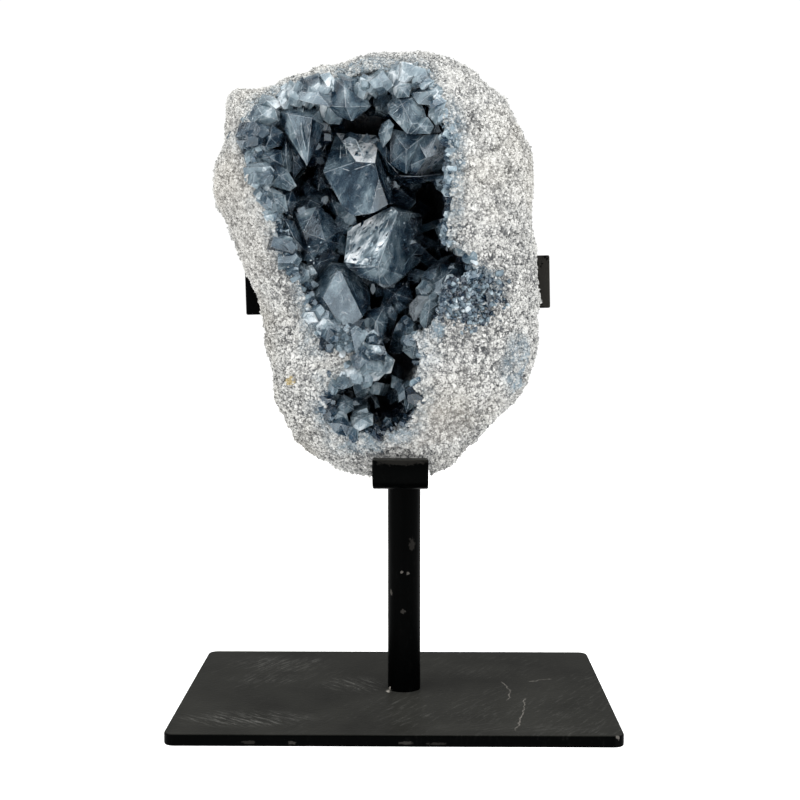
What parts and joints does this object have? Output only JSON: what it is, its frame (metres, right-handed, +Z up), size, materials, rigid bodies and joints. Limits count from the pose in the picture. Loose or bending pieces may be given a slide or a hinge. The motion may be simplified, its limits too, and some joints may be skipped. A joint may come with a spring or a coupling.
{
  "type": "celestite crystal cluster",
  "caption": "Half geode of pale rock with blue-grey celestite crystals in its hollow, standing in a black steel cradle on a post and a flat base plate.",
  "frame": {"origin": "centre of the base plate's underside, on the surface the stand rests on", "axes": "+Z up; -Y towards the open, crystal side of the geode; +X to the right as seen from that side"},
  "size_m": [0.15, 0.1, 0.2282],
  "materials": {
    "black_paint": "satin black, lightly scuffed",
    "limestone": "rough, sugary",
    "celestite": "glassy faces, frosted in places"
  },
  "bodies": {
    "root": {"base_plate": "black_paint", "post": "black_paint", "bottom_hook": "black_paint", "side_strap": "black_paint", "geode_matrix": "limestone", "crystal_crust": "celestite"}
  },
  "joints": []
}
